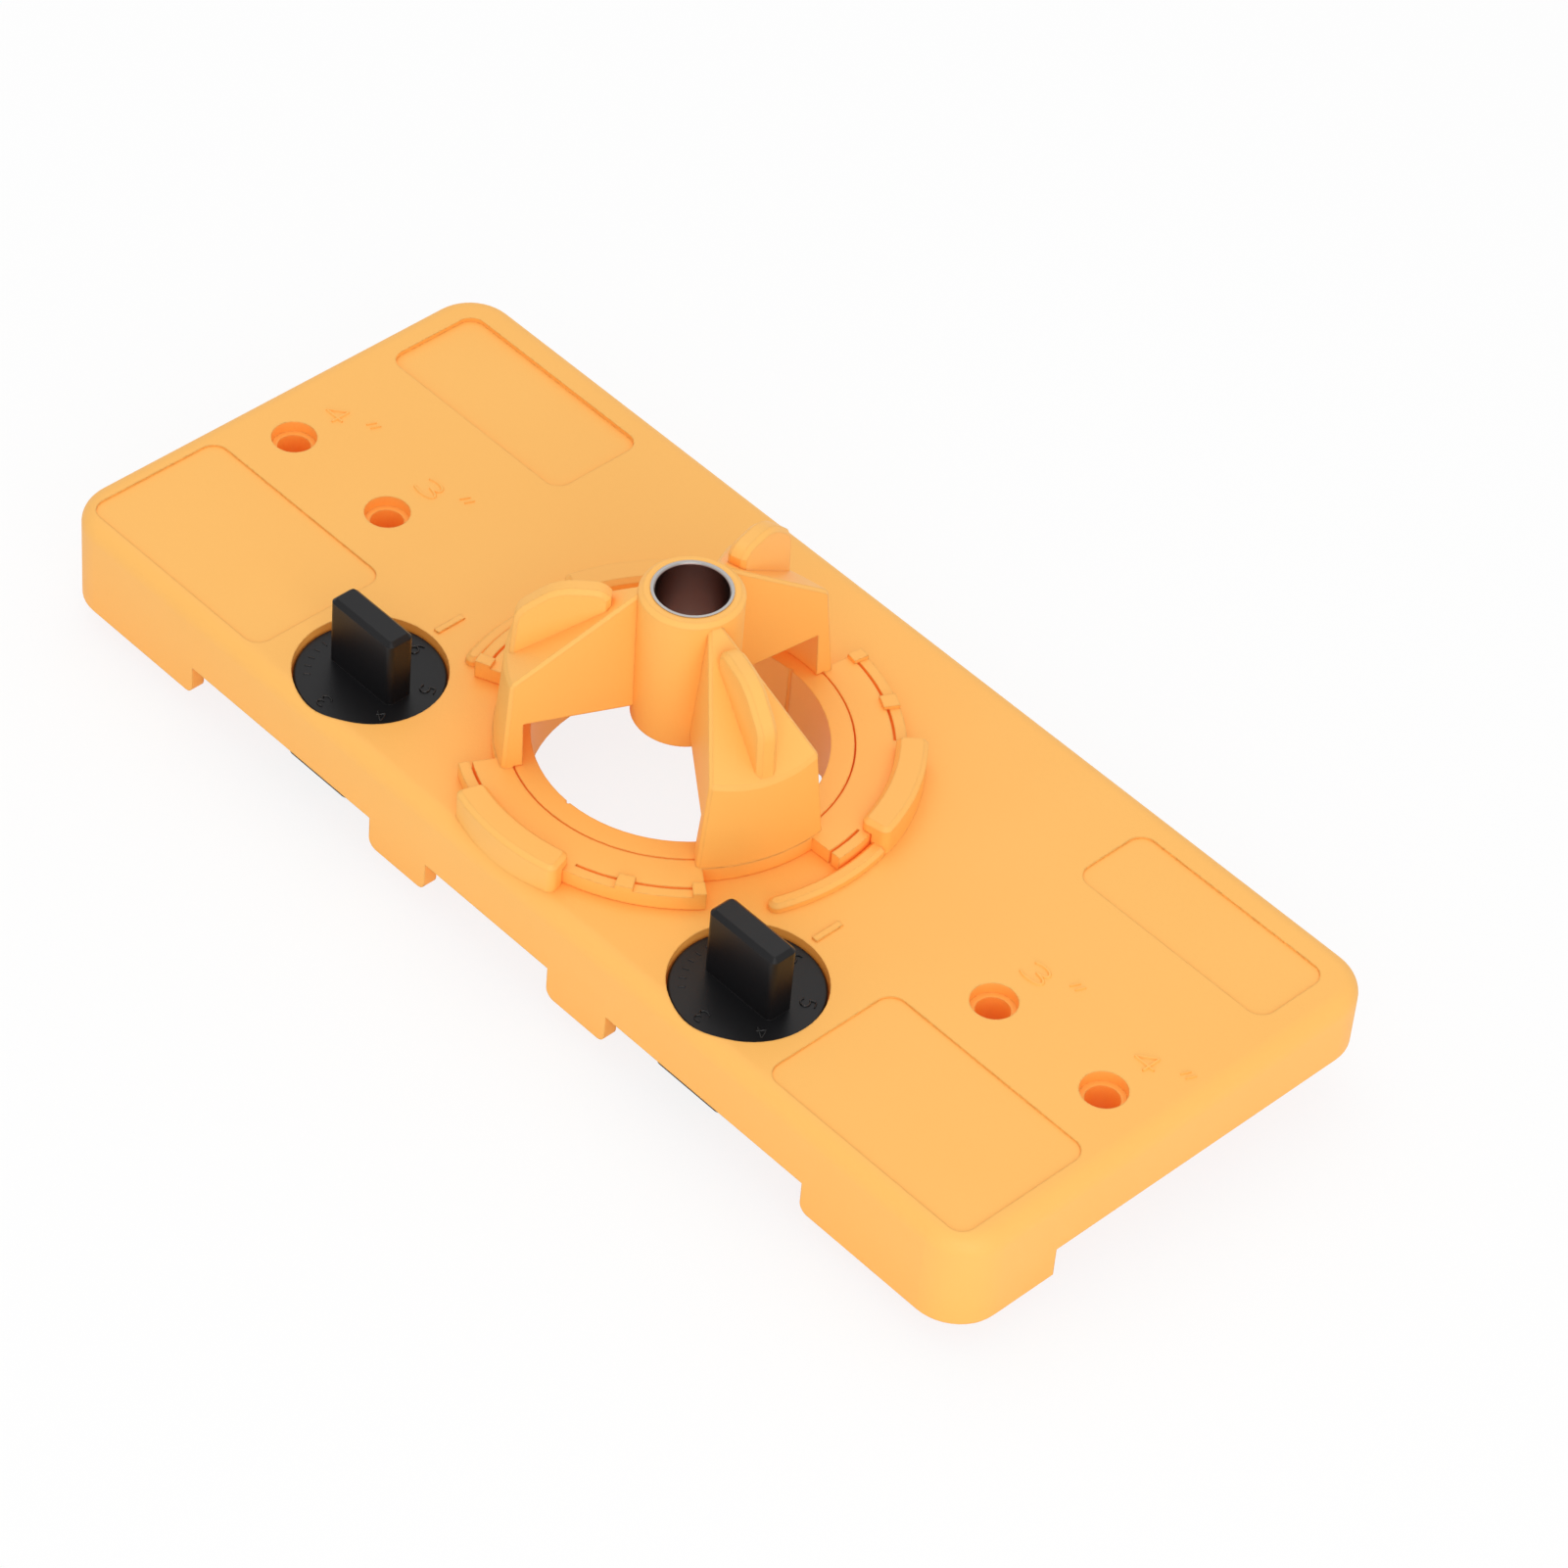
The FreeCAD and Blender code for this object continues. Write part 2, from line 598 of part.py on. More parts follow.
# Drill guide: hub with its bore, over everything
hub_cylinder = cylinder("hub_cylinder", "hub_radius", "hub_bottom", "hub_top")
hub = bevelled("hub", hub_cylinder, "hub_edge", lambda edge: level_at(edge, number("hub_top")))
bush_seat = cylinder("bush_seat", "bush_bore_radius + bush_wall", "hub_bottom - overrun",
                     "hub_top + overrun")
guide_cut = fuse("guide_cut", [bush_seat] + flange_cuts)
guide_mass = fuse("guide_mass", guide_forms + leg_forms + [hub])
drill_guide = cut("drill_guide", guide_mass, guide_cut)
finish(drill_guide, "drill_guide")

# Guide bush: a plain steel sleeve with a small lead at each end
bush_wall_form = ring("bush_wall_form", "bush_bore_radius", "bush_bore_radius + bush_wall", "hub_bottom",
                      "hub_top + bush_stand")
bush = doc.addObject("Part::Chamfer", "bush")
doc.recompute()
bush.Base = bush_wall_form
bush_edges = [i for i, edge in enumerate(bush_wall_form.Shape.Edges, 1)
              if isinstance(edge.Curve, Part.Circle)
              and abs(edge.Curve.Radius - number("bush_bore_radius")) < 1e-6]
bush.Edges = [(i, number("bush_lead"), number("bush_lead")) for i in bush_edges]
finish(bush, "guide_bush")


def dial(side, word):
    """A selector dial: disc, finger grip and a flatted shaft that carries the cam."""
    middle = "%d * dial_place" % side
    disc = bevelled(word + "_disc", cylinder(word + "_disc_form", "dial_radius", DIAL_LOW, DIAL_TOP),
                    "mark_rise", lambda edge: level_at(edge, number(DIAL_TOP)))
    grip_block = block(word + "_grip_block", "-grip_length / 2", "grip_length / 2", "-grip_thick / 2",
                       "grip_thick / 2", DIAL_TOP + " - dial_thick / 2", DIAL_TOP + " + grip_height")
    grip_sides = rounded(word + "_grip_sides", grip_block, "grip_edge", upright)
    grip = bevelled(word + "_grip", grip_sides, "grip_top_edge",
                    lambda edge: level_at(edge, number(DIAL_TOP + " + grip_height")))
    shaft_round = cylinder(word + "_shaft_round", "shaft_radius", DIAL_LOW + " - shaft_length",
                           DIAL_TOP + " - dial_thick / 2")
    shaft_keep = block(word + "_shaft_keep", "-shaft_radius - overrun", "shaft_radius + overrun",
                       "-shaft_radius - overrun", "shaft_flat", DIAL_LOW + " - shaft_length",
                       DIAL_TOP + " - dial_thick / 2")
    shaft = common(word + "_shaft", shaft_round, shaft_keep)
    thread = cylinder(word + "_thread_hole", "screw_radius + screw_gap",
                      DIAL_LOW + " - shaft_length - overrun", DIAL_LOW + " + dial_thick / 2")
    piece = cut(word + "_dial", fuse(word + "_dial_mass", [disc, grip, shaft]), thread)
    place(piece, middle, "-dial_setback", 0)
    finish(piece, word + "_dial")


# Cam: a hexagon whose faces stand at four set distances from the turning axis
FACES = [(90, "cam_six"), (150, "cam_tail"), (210, "cam_tail"), (270, "cam_three"), (330, "cam_four"),
         (30, "cam_five")]
CAM_TOP = "-cam_gap"
SEAT = "-cam_depth + screw_recess"
HEAD_LOW = "-cam_depth + screw_recess - screw_head_height"


def cam_corners():
    """The meeting points of neighbouring faces, as formulas of their distances."""
    corners = []
    for index, (angle, here) in enumerate(FACES):
        after_angle, after = FACES[(index + 1) % len(FACES)]
        # Two unit normals 60 degrees apart: the corner solves both distances at once.
        root = "sin(%d)" % (after_angle - angle)
        corners.append((
            "(%s * sin(%d) - %s * sin(%d)) / %s" % (here, after_angle, after, angle, root),
            "(%s * cos(%d) - %s * cos(%d)) / %s" % (after, angle, here, after_angle, root)))
    return corners


def cam(side, word):
    """A selector cam below the plate, with a neck that takes the dial's shaft."""
    middle = "%d * dial_place" % side
    slab = prism(word + "_cam_slab", "top", cam_corners(), "-cam_depth", CAM_TOP)
    soft = rounded(word + "_cam_soft", slab, "cam_corner", upright)
    edged = bevelled(word + "_cam_edged", soft, "cam_edge",
                     lambda edge: level_at(edge, -number("cam_depth")))
    neck = cylinder(word + "_cam_neck", "cam_neck_radius", CAM_TOP, FLOOR_LOW + " - cam_gap")
    bore = cylinder(word + "_key_round", "shaft_radius + key_gap",
                    DIAL_LOW + " - shaft_length - key_gap", FLOOR_LOW)
    keep = block(word + "_key_keep", "-shaft_radius - overrun", "shaft_radius + overrun",
                 "-shaft_radius - overrun", "shaft_flat + key_gap",
                 DIAL_LOW + " - shaft_length - key_gap", FLOOR_LOW)
    key = common(word + "_key", bore, keep)
    clear = cylinder(word + "_screw_clear", "screw_radius + screw_gap", "-cam_depth - overrun", FLOOR_LOW)
    recess = cylinder(word + "_screw_room", "screw_head_radius + screw_room_gap",
                      "-cam_depth - overrun", SEAT)
    piece = cut(word + "_cam", fuse(word + "_cam_mass", [edged, neck]),
                fuse(word + "_cam_cut", [key, clear, recess]))
    place(piece, middle, "-dial_setback", 0)
    finish(piece, word + "_cam")


def screw(side, word):
    """The screw that holds the cam on the dial's shaft, its head sunk in the cam."""
    middle = "%d * dial_place" % side
    head = cylinder(word + "_screw_head", "screw_head_radius", HEAD_LOW, SEAT)
    shank = cylinder(word + "_screw_shank", "screw_radius", SEAT, SEAT + " + screw_reach")
    drives = [
        block(word + "_drive_along", "-screw_slot_length / 2", "screw_slot_length / 2",
              "-screw_slot_width / 2", "screw_slot_width / 2", HEAD_LOW + " - overrun",
              HEAD_LOW + " + screw_slot_depth"),
        block(word + "_drive_across", "-screw_slot_width / 2", "screw_slot_width / 2",
              "-screw_slot_length / 2", "screw_slot_length / 2", HEAD_LOW + " - overrun",
              HEAD_LOW + " + screw_slot_depth")]
    piece = cut(word + "_screw", fuse(word + "_screw_mass", [head, shank]),
                fuse(word + "_drive", drives))
    place(piece, middle, "-dial_setback", 0)
    finish(piece, word + "_cam_screw")


for side, word in ((1, "right"), (-1, "left")):
    dial(side, word)
    cam(side, word)
    screw(side, word)

# Build, check every object and write the pieces
doc.recompute()
for obj in doc.Objects:
    if "Invalid" in obj.State or "Error" in obj.State:
        raise RuntimeError("%s failed: %s" % (obj.Name, obj.State))
os.makedirs("parts", exist_ok=True)
for piece in FINISHED:
    shape = piece.Shape
    if shape.isNull() or not shape.isValid():
        raise RuntimeError("%s has no valid shape" % piece.Label)
    solids = shape.Solids
    if len(solids) != 1:
        raise RuntimeError("%s has %d solids" % (piece.Label, len(solids)))
    box = shape.BoundBox
    print("%-18s volume %9.1f  x %7.2f %7.2f  y %7.2f %7.2f  z %6.2f %6.2f" % (
        piece.Label, shape.Volume, box.XMin, box.XMax, box.YMin, box.YMax, box.ZMin, box.ZMax))
    shape.exportStep("parts/%s.step" % piece.Label)
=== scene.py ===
# %% [markdown]
# A hinge drilling jig for cabinet doors: a moulded orange plate, a three-legged drill guide that
# turns on it, a steel bush in the guide's hub, and two black dials with a cam under each. The
# solids come packed from the CAD model and keep their exact shape. This lesson dresses them: one
# finish after another, the raised digits, the light, and a camera where the photographer stood.

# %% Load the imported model
import math
import bpy
import numpy as np
from mathutils import Matrix, Vector


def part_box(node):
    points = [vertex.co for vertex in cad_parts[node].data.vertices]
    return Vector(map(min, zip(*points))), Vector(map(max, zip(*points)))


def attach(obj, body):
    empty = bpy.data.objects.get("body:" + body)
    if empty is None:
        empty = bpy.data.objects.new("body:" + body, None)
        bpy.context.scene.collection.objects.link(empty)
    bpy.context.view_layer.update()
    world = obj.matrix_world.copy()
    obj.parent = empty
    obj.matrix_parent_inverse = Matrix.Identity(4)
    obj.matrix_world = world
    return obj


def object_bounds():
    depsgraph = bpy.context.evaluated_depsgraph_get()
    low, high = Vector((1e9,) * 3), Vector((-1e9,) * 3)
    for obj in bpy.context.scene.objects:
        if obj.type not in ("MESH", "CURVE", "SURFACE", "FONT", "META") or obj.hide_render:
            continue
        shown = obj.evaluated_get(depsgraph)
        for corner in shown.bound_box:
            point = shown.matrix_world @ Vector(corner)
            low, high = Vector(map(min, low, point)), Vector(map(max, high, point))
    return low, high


MM = 0.001
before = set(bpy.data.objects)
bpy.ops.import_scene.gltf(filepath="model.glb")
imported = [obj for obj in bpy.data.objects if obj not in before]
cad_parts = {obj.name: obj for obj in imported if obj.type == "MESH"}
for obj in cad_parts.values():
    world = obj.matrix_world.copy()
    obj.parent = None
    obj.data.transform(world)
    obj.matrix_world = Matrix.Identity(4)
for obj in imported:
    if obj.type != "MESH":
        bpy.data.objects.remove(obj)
cad_box = [[float(value) for value in corner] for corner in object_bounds()]
span = [round((high - low) / MM, 1) for low, high in zip(*cad_box)]
print("the jig measures", span, "mm and has", len(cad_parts), "nodes")

# %% [markdown]
# The digits will sit on flat faces, so their heights are asked of the model and not typed in
# again. A box around a node gives only its highest point, which is a grip or a hood here. Instead
# the faces that look straight up are sorted by height, and the height with the largest area is the
# face wanted.

# %% Find the plate's and the dials' flat tops
LOOKS_UP = 0.999


def flat_top(node):
    """Height in millimetres of the upward faces with the largest area in all: the sum of areas is
    taken for each height, rounded to a hundredth, and the height with the largest sum is kept."""
    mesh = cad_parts[node].data
    count = len(mesh.polygons)
    normals, middles, areas = np.empty(count * 3), np.empty(count * 3), np.empty(count)
    mesh.polygons.foreach_get("normal", normals)
    mesh.polygons.foreach_get("center", middles)
    mesh.polygons.foreach_get("area", areas)
    upward = normals.reshape(-1, 3)[:, 2] > LOOKS_UP
    heights = np.round(middles.reshape(-1, 3)[upward, 2] / MM, 2)
    levels, which = np.unique(heights, return_inverse=True)
    return float(levels[np.argmax(np.bincount(which, weights=areas[upward]))])


def middle_of(node):
    """The middle of a node's box seen from above, in millimetres."""
    low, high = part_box(node)
    return [(low[axis] + high[axis]) / 2 / MM for axis in (0, 1)]


PLATE_TOP = flat_top("jig_body")
DIAL_TOP = flat_top("left_dial")
print("plate top at", PLATE_TOP, "mm, dial faces at", DIAL_TOP, "mm")

# %% [markdown]
# The camera is a pinhole that was fitted to the photograph. It looks down at about 44 degrees from
# the front right, from a metre away, so parallel edges nearly stay parallel. Blender's track-to
# constraint would aim it at a point, but it can't hold the small roll, so the three axes are worked
# out here.

# %% Camera
AZIMUTH, ELEVATION, ROLL = 43.11, 44.25, 5.53
DISTANCE, AIM_RIGHT, AIM_UP = 1048.3, 17.6, -6.1
FOCAL_PIXELS, PHOTO_PIXELS, SENSOR = 6329.5, 1601.0, 36.0


def set_camera():
    """Back points from the plate to the lens, level is the horizontal axis across the view, and
    rise is their cross product. The roll mixes level and rise by its cosine and sine."""
    az, el, roll = (math.radians(angle) for angle in (AZIMUTH, ELEVATION, ROLL))
    back = Vector((math.sin(az) * math.cos(el), -math.cos(az) * math.cos(el), math.sin(el)))
    level = Vector((math.cos(az), math.sin(az), 0.0))
    rise = back.cross(level)
    right = level * math.cos(roll) + rise * math.sin(roll)
    up = rise * math.cos(roll) - level * math.sin(roll)
    place = back * DISTANCE + right * AIM_RIGHT + up * AIM_UP + Vector((0, 0, PLATE_TOP))
    data = bpy.data.cameras.new("camera")
    data.sensor_width = SENSOR
    data.lens = FOCAL_PIXELS * SENSOR / PHOTO_PIXELS
    camera = bpy.data.objects.new("camera", data)
    turn = Matrix((right, up, back)).transposed().to_4x4()
    camera.matrix_world = Matrix.Translation(place * MM) @ turn
    bpy.context.scene.collection.objects.link(camera)
    bpy.context.scene.camera = camera
    return camera


camera = set_camera()
print("camera at", [round(value, 3) for value in camera.matrix_world.translation], "metres")

# %% [markdown]
# Every finish on the jig needs the same things: a material, a noise in the piece's own space, a
# colour and a roughness that wander a little, and a fine relief. Each is a small helper. First come
# the material and its space. Generated coordinates would stretch with a piece's box, and window or
# camera coordinates would slide in other views. Object coordinates keep a pattern still on its
# piece when the piece turns.

# %% A material and its space
def new_material(name, **values):
    """A material, its node tree and its shader, with sockets set by name. An underscore in a name
    stands for a space."""
    mat = bpy.data.materials.new(name)
    mat.use_nodes = True
    shader = mat.node_tree.nodes["Principled BSDF"]
    for socket, value in values.items():
        shader.inputs[socket.replace("_", " ")].default_value = value
    return mat, mat.node_tree, shader


def own_space(tree):
    """The piece's own coordinates, in metres."""
    return tree.nodes.new("ShaderNodeTexCoord").outputs["Object"]


# %% [markdown]
# No moulding has quite the same colour all over. A photographed or painted texture could show that,
# but it would need a flat layout for every piece, and a noise in space needs none. It gives a soft
# value that picks a place between two near colours.

# %% A noise, and a colour between two
def noise(tree, size, vector, detail=2.0):
    """A soft random value between 0 and 1 that changes over size millimetres."""
    node = tree.nodes.new("ShaderNodeTexNoise")
    node.inputs["Scale"].default_value = 1.0 / (size * MM)
    node.inputs["Detail"].default_value = detail
    tree.links.new(vector, node.inputs["Vector"])
    return node.outputs["Fac"]


def between(tree, value, first, second):
    """A colour from first to second as the value goes from 0 to 1. Each of the two is red, green
    and blue, or another node's output."""
    mix = tree.nodes.new("ShaderNodeMix")
    mix.data_type = "RGBA"
    tree.links.new(value, mix.inputs["Factor"])
    for socket, colour in (("A", first), ("B", second)):
        if isinstance(colour, tuple):
            mix.inputs[socket].default_value = (*colour, 1.0)
        else:
            tree.links.new(colour, mix.inputs[socket])
    return mix.outputs["Result"]


# %% [markdown]
# Gloss wanders as the colour does, and the mould leaves a grain. The grain could be real shape, but
# it is so fine that it would take millions of faces, so it is only shading. The same helper can
# shade sharp edges as if they were rounded, as moulded ones are.

# %% Roughness and relief
def wander_roughness(tree, shader, value, low, high):
    """Roughness from low to high as the value goes from 0 to 1."""
    reach = tree.nodes.new("ShaderNodeMapRange")
    reach.inputs["To Min"].default_value = low
    reach.inputs["To Max"].default_value = high
    tree.links.new(value, reach.inputs["Value"])
    tree.links.new(reach.outputs["Result"], shader.inputs["Roughness"])


def relief(tree, shader, value, depth, rounding=0.0):
    """Tilt the surface as if the value, from 0 to 1, were a height of depth millimetres. Sharp
    edges are shaded as if they were rounded to a radius of rounding millimetres."""
    bump = tree.nodes.new("ShaderNodeBump")
    bump.inputs["Distance"].default_value = depth * MM
    tree.links.new(value, bump.inputs["Height"])
    tree.links.new(bump.outputs["Normal"], shader.inputs["Normal"])
    if rounding > 0.0:
        soft_edge = tree.nodes.new("ShaderNodeBevel")
        soft_edge.samples = 2
        soft_edge.inputs["Radius"].default_value = rounding * MM
        tree.links.new(soft_edge.outputs["Normal"], bump.inputs["Normal"])


# %% [markdown]
# The plate and the guide are moulded in a satin orange plastic. Its holes and corners glow red,
# because light that bounces there from wall to wall, and through the walls, loses blue first and
# then green. Subsurface scattering is the usual way to show that, but in thin strokes and narrow
# gaps the red light walks furthest and gets lost, and they turn green. So that light is painted
# instead: a node measures how open each point is, and its value steers a painted darker, redder
# shade and a painted glow in the hollows.

# %% How open a point is
def openness(tree, reach):
    """1 in the open and 0 deep in a hollow: the share of short rays from the point, reach
    millimetres long, that meet nothing."""
    node = tree.nodes.new("ShaderNodeAmbientOcclusion")
    node.samples = 2
    node.inputs["Distance"].default_value = reach * MM
    return node.outputs["AO"]


def stretch(tree, value, low, high):
    """The value stretched in a straight line, so that low becomes 0 and high becomes 1, and cut off
    outside."""
    reach = tree.nodes.new("ShaderNodeMapRange")
    reach.inputs["From Min"].default_value = low
    reach.inputs["From Max"].default_value = high
    tree.links.new(value, reach.inputs["Value"])
    return reach.outputs["Result"]


# %% [markdown]
# In the hollows a darker, redder shade is painted into the colour, and a faint glow is painted
# in, which stands for the light that comes through the walls there. The mould's fine grain is a
# very shallow relief. The raised marks get the same finish with shorter rays, because the hollow
# beside a low stroke is a small one, so the painted shade gathers in the creases at their feet.

# %% Orange moulded plastic
# The hollow colour is a painted shade, darker and redder, for the light that bounces in holes and
# corners, and the wall glow is a painted glow for light through the walls.
PAINTED_HOLLOW_SHADE, PAINTED_WALL_GLOW, DARK = (0.90, 0.37, 0.045), (0.12, 0.022, 0.003), (0.0, 0.0, 0.0)
LIT_COLOURS = (0.97, 0.505, 0.120), (0.95, 0.48, 0.108)
GLOW_FROM, GLOW_UNTIL = 0.25, 0.92


def moulded_orange(name, rounding, reach, deep, shallow):
    """Orange plastic whose colour and gloss wander over centimetres and whose grain is under a
    millimetre. From the openness called shallow down to the one called deep a darker, redder
    painted shade takes over the colour, and a painted glow for light from within the walls is
    added where it is not open."""
    mat, tree, shader = new_material(name, Specular_IOR_Level=0.4, Emission_Strength=1.0,
                                     Emission_Color=(*DARK, 1.0))
    space = own_space(tree)
    cloud = noise(tree, 36.0, space, detail=3.0)
    lit = between(tree, cloud, *LIT_COLOURS)
    open_share = openness(tree, reach)
    # Painted shade: where a point is less open, the colour turns to the darker, redder hollow
    # colour.
    colour = between(tree, stretch(tree, open_share, deep, shallow), PAINTED_HOLLOW_SHADE, lit)
    tree.links.new(colour, shader.inputs["Base Color"])
    # A painted glow where a point is not open, standing for light that comes through the walls.
    glow = between(tree, stretch(tree, open_share, GLOW_FROM, GLOW_UNTIL), PAINTED_WALL_GLOW, DARK)
    tree.links.new(glow, shader.inputs["Emission Color"])
    wander_roughness(tree, shader, cloud, 0.50, 0.58)
    relief(tree, shader, noise(tree, 0.7, space), 0.03, rounding)
    return mat


orange = moulded_orange("orange plastic", rounding=0.45, reach=30.0, deep=0.0, shallow=0.64)
# This material paints a darker, redder shade into the creases at the foot of each stroke.
orange_mark = moulded_orange("orange raised mark", rounding=0.0, reach=3.0, deep=0.52,
                             shallow=0.98)
print("made", orange.name, "and", orange_mark.name)

# %% [markdown]
# The dials and cams are black plastic from a smoother mould, so their edges catch thin bright
# lines. Pure black would lose the form in the shade. A very dark grey with a soft gloss keeps it.

# %% Black moulded plastic
def moulded_black(name, gloss, smooth, rough):
    """Black plastic with a strength of gloss, whose roughness wanders from smooth to rough."""
    mat, tree, shader = new_material(name, Specular_IOR_Level=gloss)
    space = own_space(tree)
    cloud = noise(tree, 20.0, space, detail=3.0)
    colour = between(tree, cloud, (0.0075, 0.0072, 0.0085), (0.005, 0.005, 0.0055))
    tree.links.new(colour, shader.inputs["Base Color"])
    wander_roughness(tree, shader, cloud, smooth, rough)
    relief(tree, shader, noise(tree, 0.5, space), 0.012, 0.3)
    return mat


black = moulded_black("black plastic", gloss=0.29, smooth=0.30, rough=0.38)
digit_black = moulded_black("black raised digits", gloss=0.5, smooth=0.12, rough=0.18)
cam_black = moulded_black("cam plastic", gloss=0.2, smooth=0.45, rough=0.55)
print("made", black.name, "and", cam_black.name)

# %% [markdown]
# The bush and the screws are turned steel. A lathe leaves fine rings around the axis, so the noise
# is read at the distance from the axis and the height, and not at a point: it is then the same all
# the way round, and its ups and downs are rings. An anisotropic shader could smear the gloss too,
# but it wants a direction on every face. The Mapping node puts the axis where the piece has it.

# %% Distance from a piece's axis
def around_axis(tree, axis_place):
    """Two outputs: the distance from the axis, which is the length of the vector across it, and a
    vector of that distance and the height."""
    to_axis = tree.nodes.new("ShaderNodeMapping")
    to_axis.inputs["Location"].default_value = (-axis_place[0] * MM, -axis_place[1] * MM, 0.0)
    tree.links.new(own_space(tree), to_axis.inputs["Vector"])
    apart = tree.nodes.new("ShaderNodeSeparateXYZ")
    tree.links.new(to_axis.outputs["Vector"], apart.inputs["Vector"])
    across = tree.nodes.new("ShaderNodeCombineXYZ")
    tree.links.new(apart.outputs["X"], across.inputs["X"])
    tree.links.new(apart.outputs["Y"], across.inputs["Y"])
    distance = tree.nodes.new("ShaderNodeVectorMath")
    distance.operation = "LENGTH"
    tree.links.new(across.outputs["Vector"], distance.inputs[0])
    ring_place = tree.nodes.new("ShaderNodeCombineXYZ")
    tree.links.new(distance.outputs["Value"], ring_place.inputs["X"])
    tree.links.new(apart.outputs["Z"], ring_place.inputs["Z"])
    return distance.outputs["Value"], ring_place.outputs["Vector"]


# %% [markdown]
# The ends of the bush are bright, and its bore is coloured darker and browner. A second material
# would need the bore's faces picked out. The distance from the axis is known already, so a
# comparison with the bore's radius picks the colour.

# %% Turned steel
def turned_steel(name, axis_place, bore_radius=0.0):
    """Steel with rings: the noise reads the distance from the axis and the height. The colour is
    the bore's where the distance is under the bore's radius."""
    mat, tree, shader = new_material(name, Metallic=1.0)
    distance, ring_place = around_axis(tree, axis_place)
    rings = noise(tree, 0.25, ring_place)
    bright = between(tree, rings, (0.52, 0.50, 0.48), (0.42, 0.40, 0.38))
    in_bore = tree.nodes.new("ShaderNodeMath")
    in_bore.operation = "LESS_THAN"
    in_bore.inputs[1].default_value = bore_radius * MM
    tree.links.new(distance, in_bore.inputs[0])
    colour = between(tree, in_bore.outputs["Value"], bright, (0.38, 0.27, 0.24))
    tree.links.new(colour, shader.inputs["Base Color"])
    wander_roughness(tree, shader, rings, 0.18, 0.30)
    relief(tree, shader, rings, 0.006)
    return mat


# A tenth of a millimetre more than the bore has, so that its whole wall lies within
BORE_RADIUS = 6.35
bush_steel = turned_steel("bush steel", middle_of("guide_bush"), BORE_RADIUS)
left_steel = turned_steel("left screw steel", middle_of("left_cam_screw"))
right_steel = turned_steel("right screw steel", middle_of("right_cam_screw"))
print("the bush's axis is at", [round(value, 2) for value in middle_of("guide_bush")])

# %% [markdown]
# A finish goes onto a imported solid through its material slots. The solid itself is never moved.

# %% Dress the solids
DRESS = {"jig_body": orange, "drill_guide": orange, "guide_bush": bush_steel,
         "left_dial": black, "right_dial": black, "left_cam": cam_black, "right_cam": cam_black,
         "left_cam_screw": left_steel, "right_cam_screw": right_steel}
for node, mat in DRESS.items():
    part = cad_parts[node]
    part.data.materials.clear()
    part.data.materials.append(mat)
print("dressed", len(DRESS), "solids")

# %% [markdown]
# The digits are raised strokes. A text object would bring a font's shapes and thousands of thin
# triangles, and these are simpler: each digit is a few lines of straights and arcs of an ellipse in
# a box one unit wide and one unit high, and a low bar with sloping sides runs along each line.

# %% Lines of the digits
def arc(middle, radii, first, last, count=22):
    """Points on an ellipse: middle plus each radius times the cosine and sine of even angles."""
    angle = np.radians(np.linspace(first, last, count))
    return np.stack([middle[0] + radii[0] * np.cos(angle), middle[1] + radii[1] * np.sin(angle)],
                    axis=1)


def bar(*points):
    """A line through the given points."""
    return np.array(points, float)


DIGITS = {
    "3": [arc((-0.06, 0.255), (0.46, 0.245), 150, -90),
          arc((-0.06, -0.245), (0.56, 0.255), 90, -152)],
    "4": [bar((-0.5, -0.15), (0.5, -0.15)), bar((-0.46, -0.11), (0.2, 0.48)),
          bar((0.22, 0.5), (0.22, -0.5))],
    "5": [bar((0.42, 0.5), (-0.34, 0.5)), bar((-0.36, 0.5), (-0.42, 0.04)),
          arc((-0.03, -0.18), (0.52, 0.32), 138, -150, 26)],
    "6": [arc((0.62, -0.18), (1.1, 0.68), 100, 180, 14),
          arc((0.0, -0.19), (0.48, 0.31), 180, 540, 34)],
    "inches": [bar((-0.5, -0.5), (-0.1, 0.5)), bar((0.12, -0.5), (0.5, 0.5))],
}
print("digits made of", {name: len(lines) for name, lines in DIGITS.items()}, "lines")

# %% [markdown]
# Along each line runs a bar with a section of four corners. A curve with a bevel could make it
# too, but as arrays the section can narrow at both ends, and the bar is closed where it starts and
# stops.

